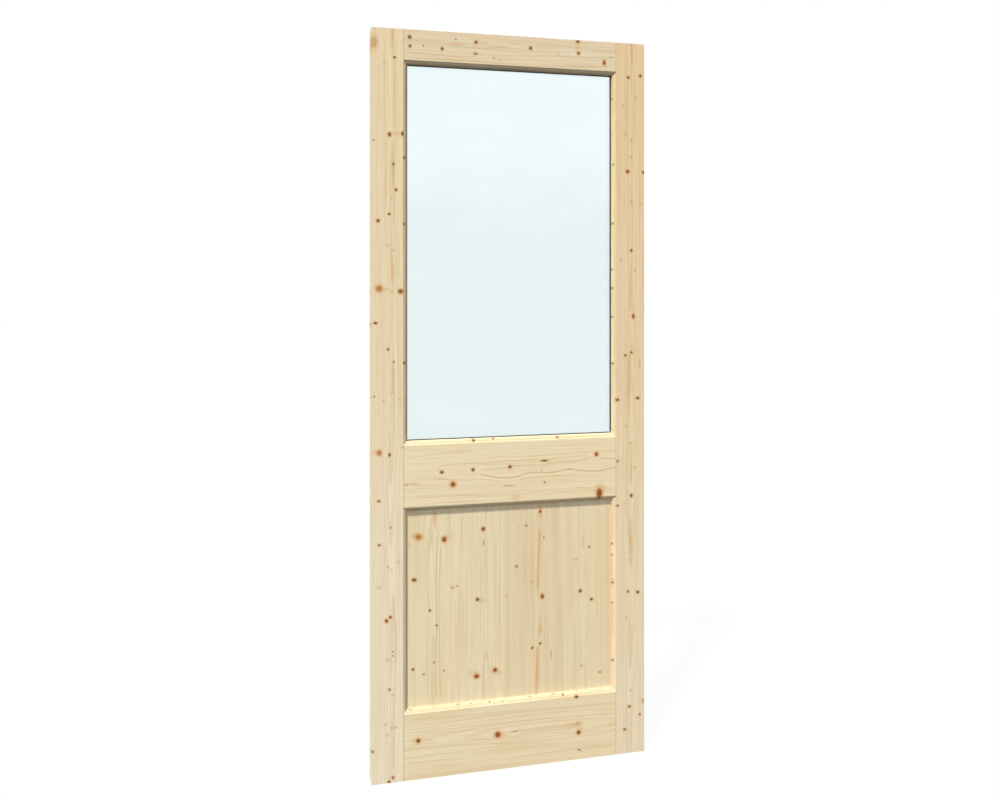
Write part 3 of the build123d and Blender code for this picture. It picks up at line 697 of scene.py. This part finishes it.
def compound(name, colour, pale, roughness, size):
    """A cured sealant, rubber or moulded plastic: an even colour with slight clouds and a fine skin."""
    made, graph, shader = new_material(name)
    place = leaf_place(graph)
    cloud = graph.noise(graph.stretched(place, size * 12, size * 12, size * 12), detail=2.0)
    skin = graph.noise(graph.stretched(place, size, size, size), detail=2.0)
    graph.plug(shader.inputs["Base Color"], graph.mix(graph.step(cloud, 0.3, 0.75), colour, pale))
    graph.plug(shader.inputs["Roughness"], graph.step(skin, 0.25, 0.75, roughness - 0.06, roughness + 0.08))
    bump = graph.node("ShaderNodeBump", {"Strength": 0.25, "Distance": 0.0001, "Height": skin})
    graph.plug(shader.inputs["Normal"], bump.outputs[0])
    return made


# The glass's faint green in a brighter and a duller colour; the difference between them is a painted reflection
GLASS_GREEN_BRIGHT = linear(247.5, 253, 254)
GLASS_GREEN_DULL = linear(242, 248.5, 248)


def pane(name):
    """Float glass with its faint green, a painted reflection that makes it brighter towards the top and in soft
    clouds, and clear shadows.
    """
    made, graph, shader = new_material(name)
    x, y, z = graph.parts(leaf_place(graph))
    # Painted reflection: the glass is made brighter towards the top and in soft clouds
    rise = graph.step(z, 1380.0, 1700.0)
    cloud = graph.noise(graph.join(graph.math("DIVIDE", x, 260.0), graph.math("DIVIDE", z, 170.0)), detail=3.0)
    painted_reflection_clouds = graph.step(cloud, 0.35, 0.75, -0.25, 0.25)
    share = graph.math("ADD", rise, painted_reflection_clouds, clamp=True)
    graph.plug(shader.inputs["Base Color"], graph.mix(share, GLASS_GREEN_DULL, GLASS_GREEN_BRIGHT))
    shader.inputs["Roughness"].default_value = 0.0
    shader.inputs["IOR"].default_value = 1.5
    shader.inputs["Transmission Weight"].default_value = 1.0
    clear = graph.node("ShaderNodeBsdfTransparent", {"Color": linear(246, 251, 249)})
    shadow = graph.node("ShaderNodeLightPath").outputs["Is Shadow Ray"]
    either = graph.node("ShaderNodeMixShader", {0: shadow, 1: shader.outputs[0], 2: clear.outputs[0]})
    graph.plug(made.node_tree.nodes["Material Output"].inputs["Surface"], either.outputs[0])
    return made


dowel_wood = beech("beech_dowels")
for side in ("left", "right"):
    for rail in ("top", "middle", "bottom"):
        wear(f"{side}_{rail}_dowels", dowel_wood)

pin_steel = metal("steel_pins", linear(168, 168, 166), linear(132, 130, 126), 0.34, (0.4, 6.0, 0.4))
for side in ("left", "right", "top", "bottom"):
    wear(f"{side}_bead_pins", pin_steel)

glass = pane("float_glass")
wear("outer_pane", glass)
wear("inner_pane", glass)

wear("spacer_bar", metal("spacer_metal", linear(46, 46, 46), linear(34, 34, 34), 0.42, (3.0, 0.5, 3.0)))
key_plastic = compound("key_plastic", linear(64, 64, 62), linear(78, 78, 76), 0.5, 0.8)
wear("spacer_key", key_plastic)
wear("spacer_drying_fill", compound("drying_beads", linear(222, 212, 190), linear(196, 184, 160), 0.8, 0.6))
wear("edge_seal", compound("edge_sealant", linear(34, 34, 34), linear(44, 44, 42), 0.55, 1.2))
glazing_seal = compound("glazing_sealant", linear(40, 40, 36), linear(54, 54, 48), 0.5, 1.0)
wear("front_glazing_seal", glazing_seal)
wear("rear_glazing_seal", glazing_seal)
block_plastic = compound("block_plastic", linear(52, 92, 146), linear(62, 104, 158), 0.48, 0.7)
for blocks in ("setting_blocks", "top_location_blocks", "left_location_blocks", "right_location_blocks"):
    wear(blocks, block_plastic)


def seen_directly(graph):
    """One where a ray comes from the camera, a reflection or a refraction, and zero for the light that falls."""
    path = graph.node("ShaderNodeLightPath").outputs
    either = graph.math("MAXIMUM", path["Is Camera Ray"], path["Is Glossy Ray"])
    return graph.math("MAXIMUM", either, path["Is Transmission Ray"])


def make_floor():
    half = FLOOR_SIZE / 2
    mesh = bpy.data.meshes.new("floor")
    corners = [(-half, -half, 0.0), (half, -half, 0.0), (half, half, 0.0), (-half, half, 0.0)]
    mesh.from_pydata(corners, [], [(0, 1, 2, 3)])
    floor = bpy.data.objects.new("floor", mesh)
    bpy.context.collection.objects.link(floor)
    made = bpy.data.materials.new("studio_floor")
    made.use_nodes = True
    graph = Graph(made.node_tree)
    made.node_tree.nodes.remove(made.node_tree.nodes["Principled BSDF"])
    bounce = graph.node("ShaderNodeBsdfDiffuse", {"Color": (FLOOR_BOUNCE, FLOOR_BOUNCE, FLOOR_BOUNCE, 1.0)})
    lit = graph.node("ShaderNodeBsdfDiffuse", {"Color": (FLOOR_LIT, FLOOR_LIT, FLOOR_LIT, 1.0)})
    glow = graph.node("ShaderNodeEmission", {"Color": (1.0, 1.0, 1.0, 1.0), "Strength": FLOOR_GLOW})
    shown = graph.node("ShaderNodeAddShader", {0: lit.outputs[0], 1: glow.outputs[0]})
    either = graph.node("ShaderNodeMixShader", {0: seen_directly(graph), 1: bounce.outputs[0], 2: shown.outputs[0]})
    graph.plug(made.node_tree.nodes["Material Output"].inputs["Surface"], either.outputs[0])
    mesh.materials.append(made)


def make_world():
    world = bpy.data.worlds.new("studio")
    world.use_nodes = True
    graph = Graph(world.node_tree)
    sky = world.node_tree.nodes["Background"]
    sky.inputs["Color"].default_value = SKY_COLOUR
    sky.inputs["Strength"].default_value = SKY_STRENGTH
    white = graph.node("ShaderNodeBackground", {"Color": (1.0, 1.0, 1.0, 1.0), "Strength": 1.0})
    either = graph.node("ShaderNodeMixShader", {0: seen_directly(graph), 1: sky.outputs[0], 2: white.outputs[0]})
    graph.plug(world.node_tree.nodes["World Output"].inputs["Surface"], either.outputs[0])
    bpy.context.scene.world = world


def make_sun(name, direction, strength, width, colour):
    lamp = bpy.data.lights.new(name, "SUN")
    lamp.energy = strength
    lamp.color = colour
    lamp.angle = radians(width)
    sun = bpy.data.objects.new(name, lamp)
    sun.rotation_euler = Vector(direction).to_track_quat("-Z", "Y").to_euler()
    bpy.context.collection.objects.link(sun)
    return sun


def make_camera():
    lens = bpy.data.cameras.new("camera")
    lens.lens = CAMERA_LENS
    lens.shift_y = CAMERA_SHIFT
    camera = bpy.data.objects.new("camera", lens)
    camera.location = CAMERA_PLACE
    camera.rotation_euler = (pi / 2, 0.0, -CAMERA_TURN)
    bpy.context.collection.objects.link(camera)
    bpy.context.scene.camera = camera


make_camera()
make_floor()
make_world()
suns = {name: make_sun(name, *settings) for name, settings in LAMPS.items()}
for name in ("fill", "back"):
    suns[name].visible_transmission = False
    suns[name].visible_glossy = False
bpy.context.scene.view_settings.view_transform = "Standard"
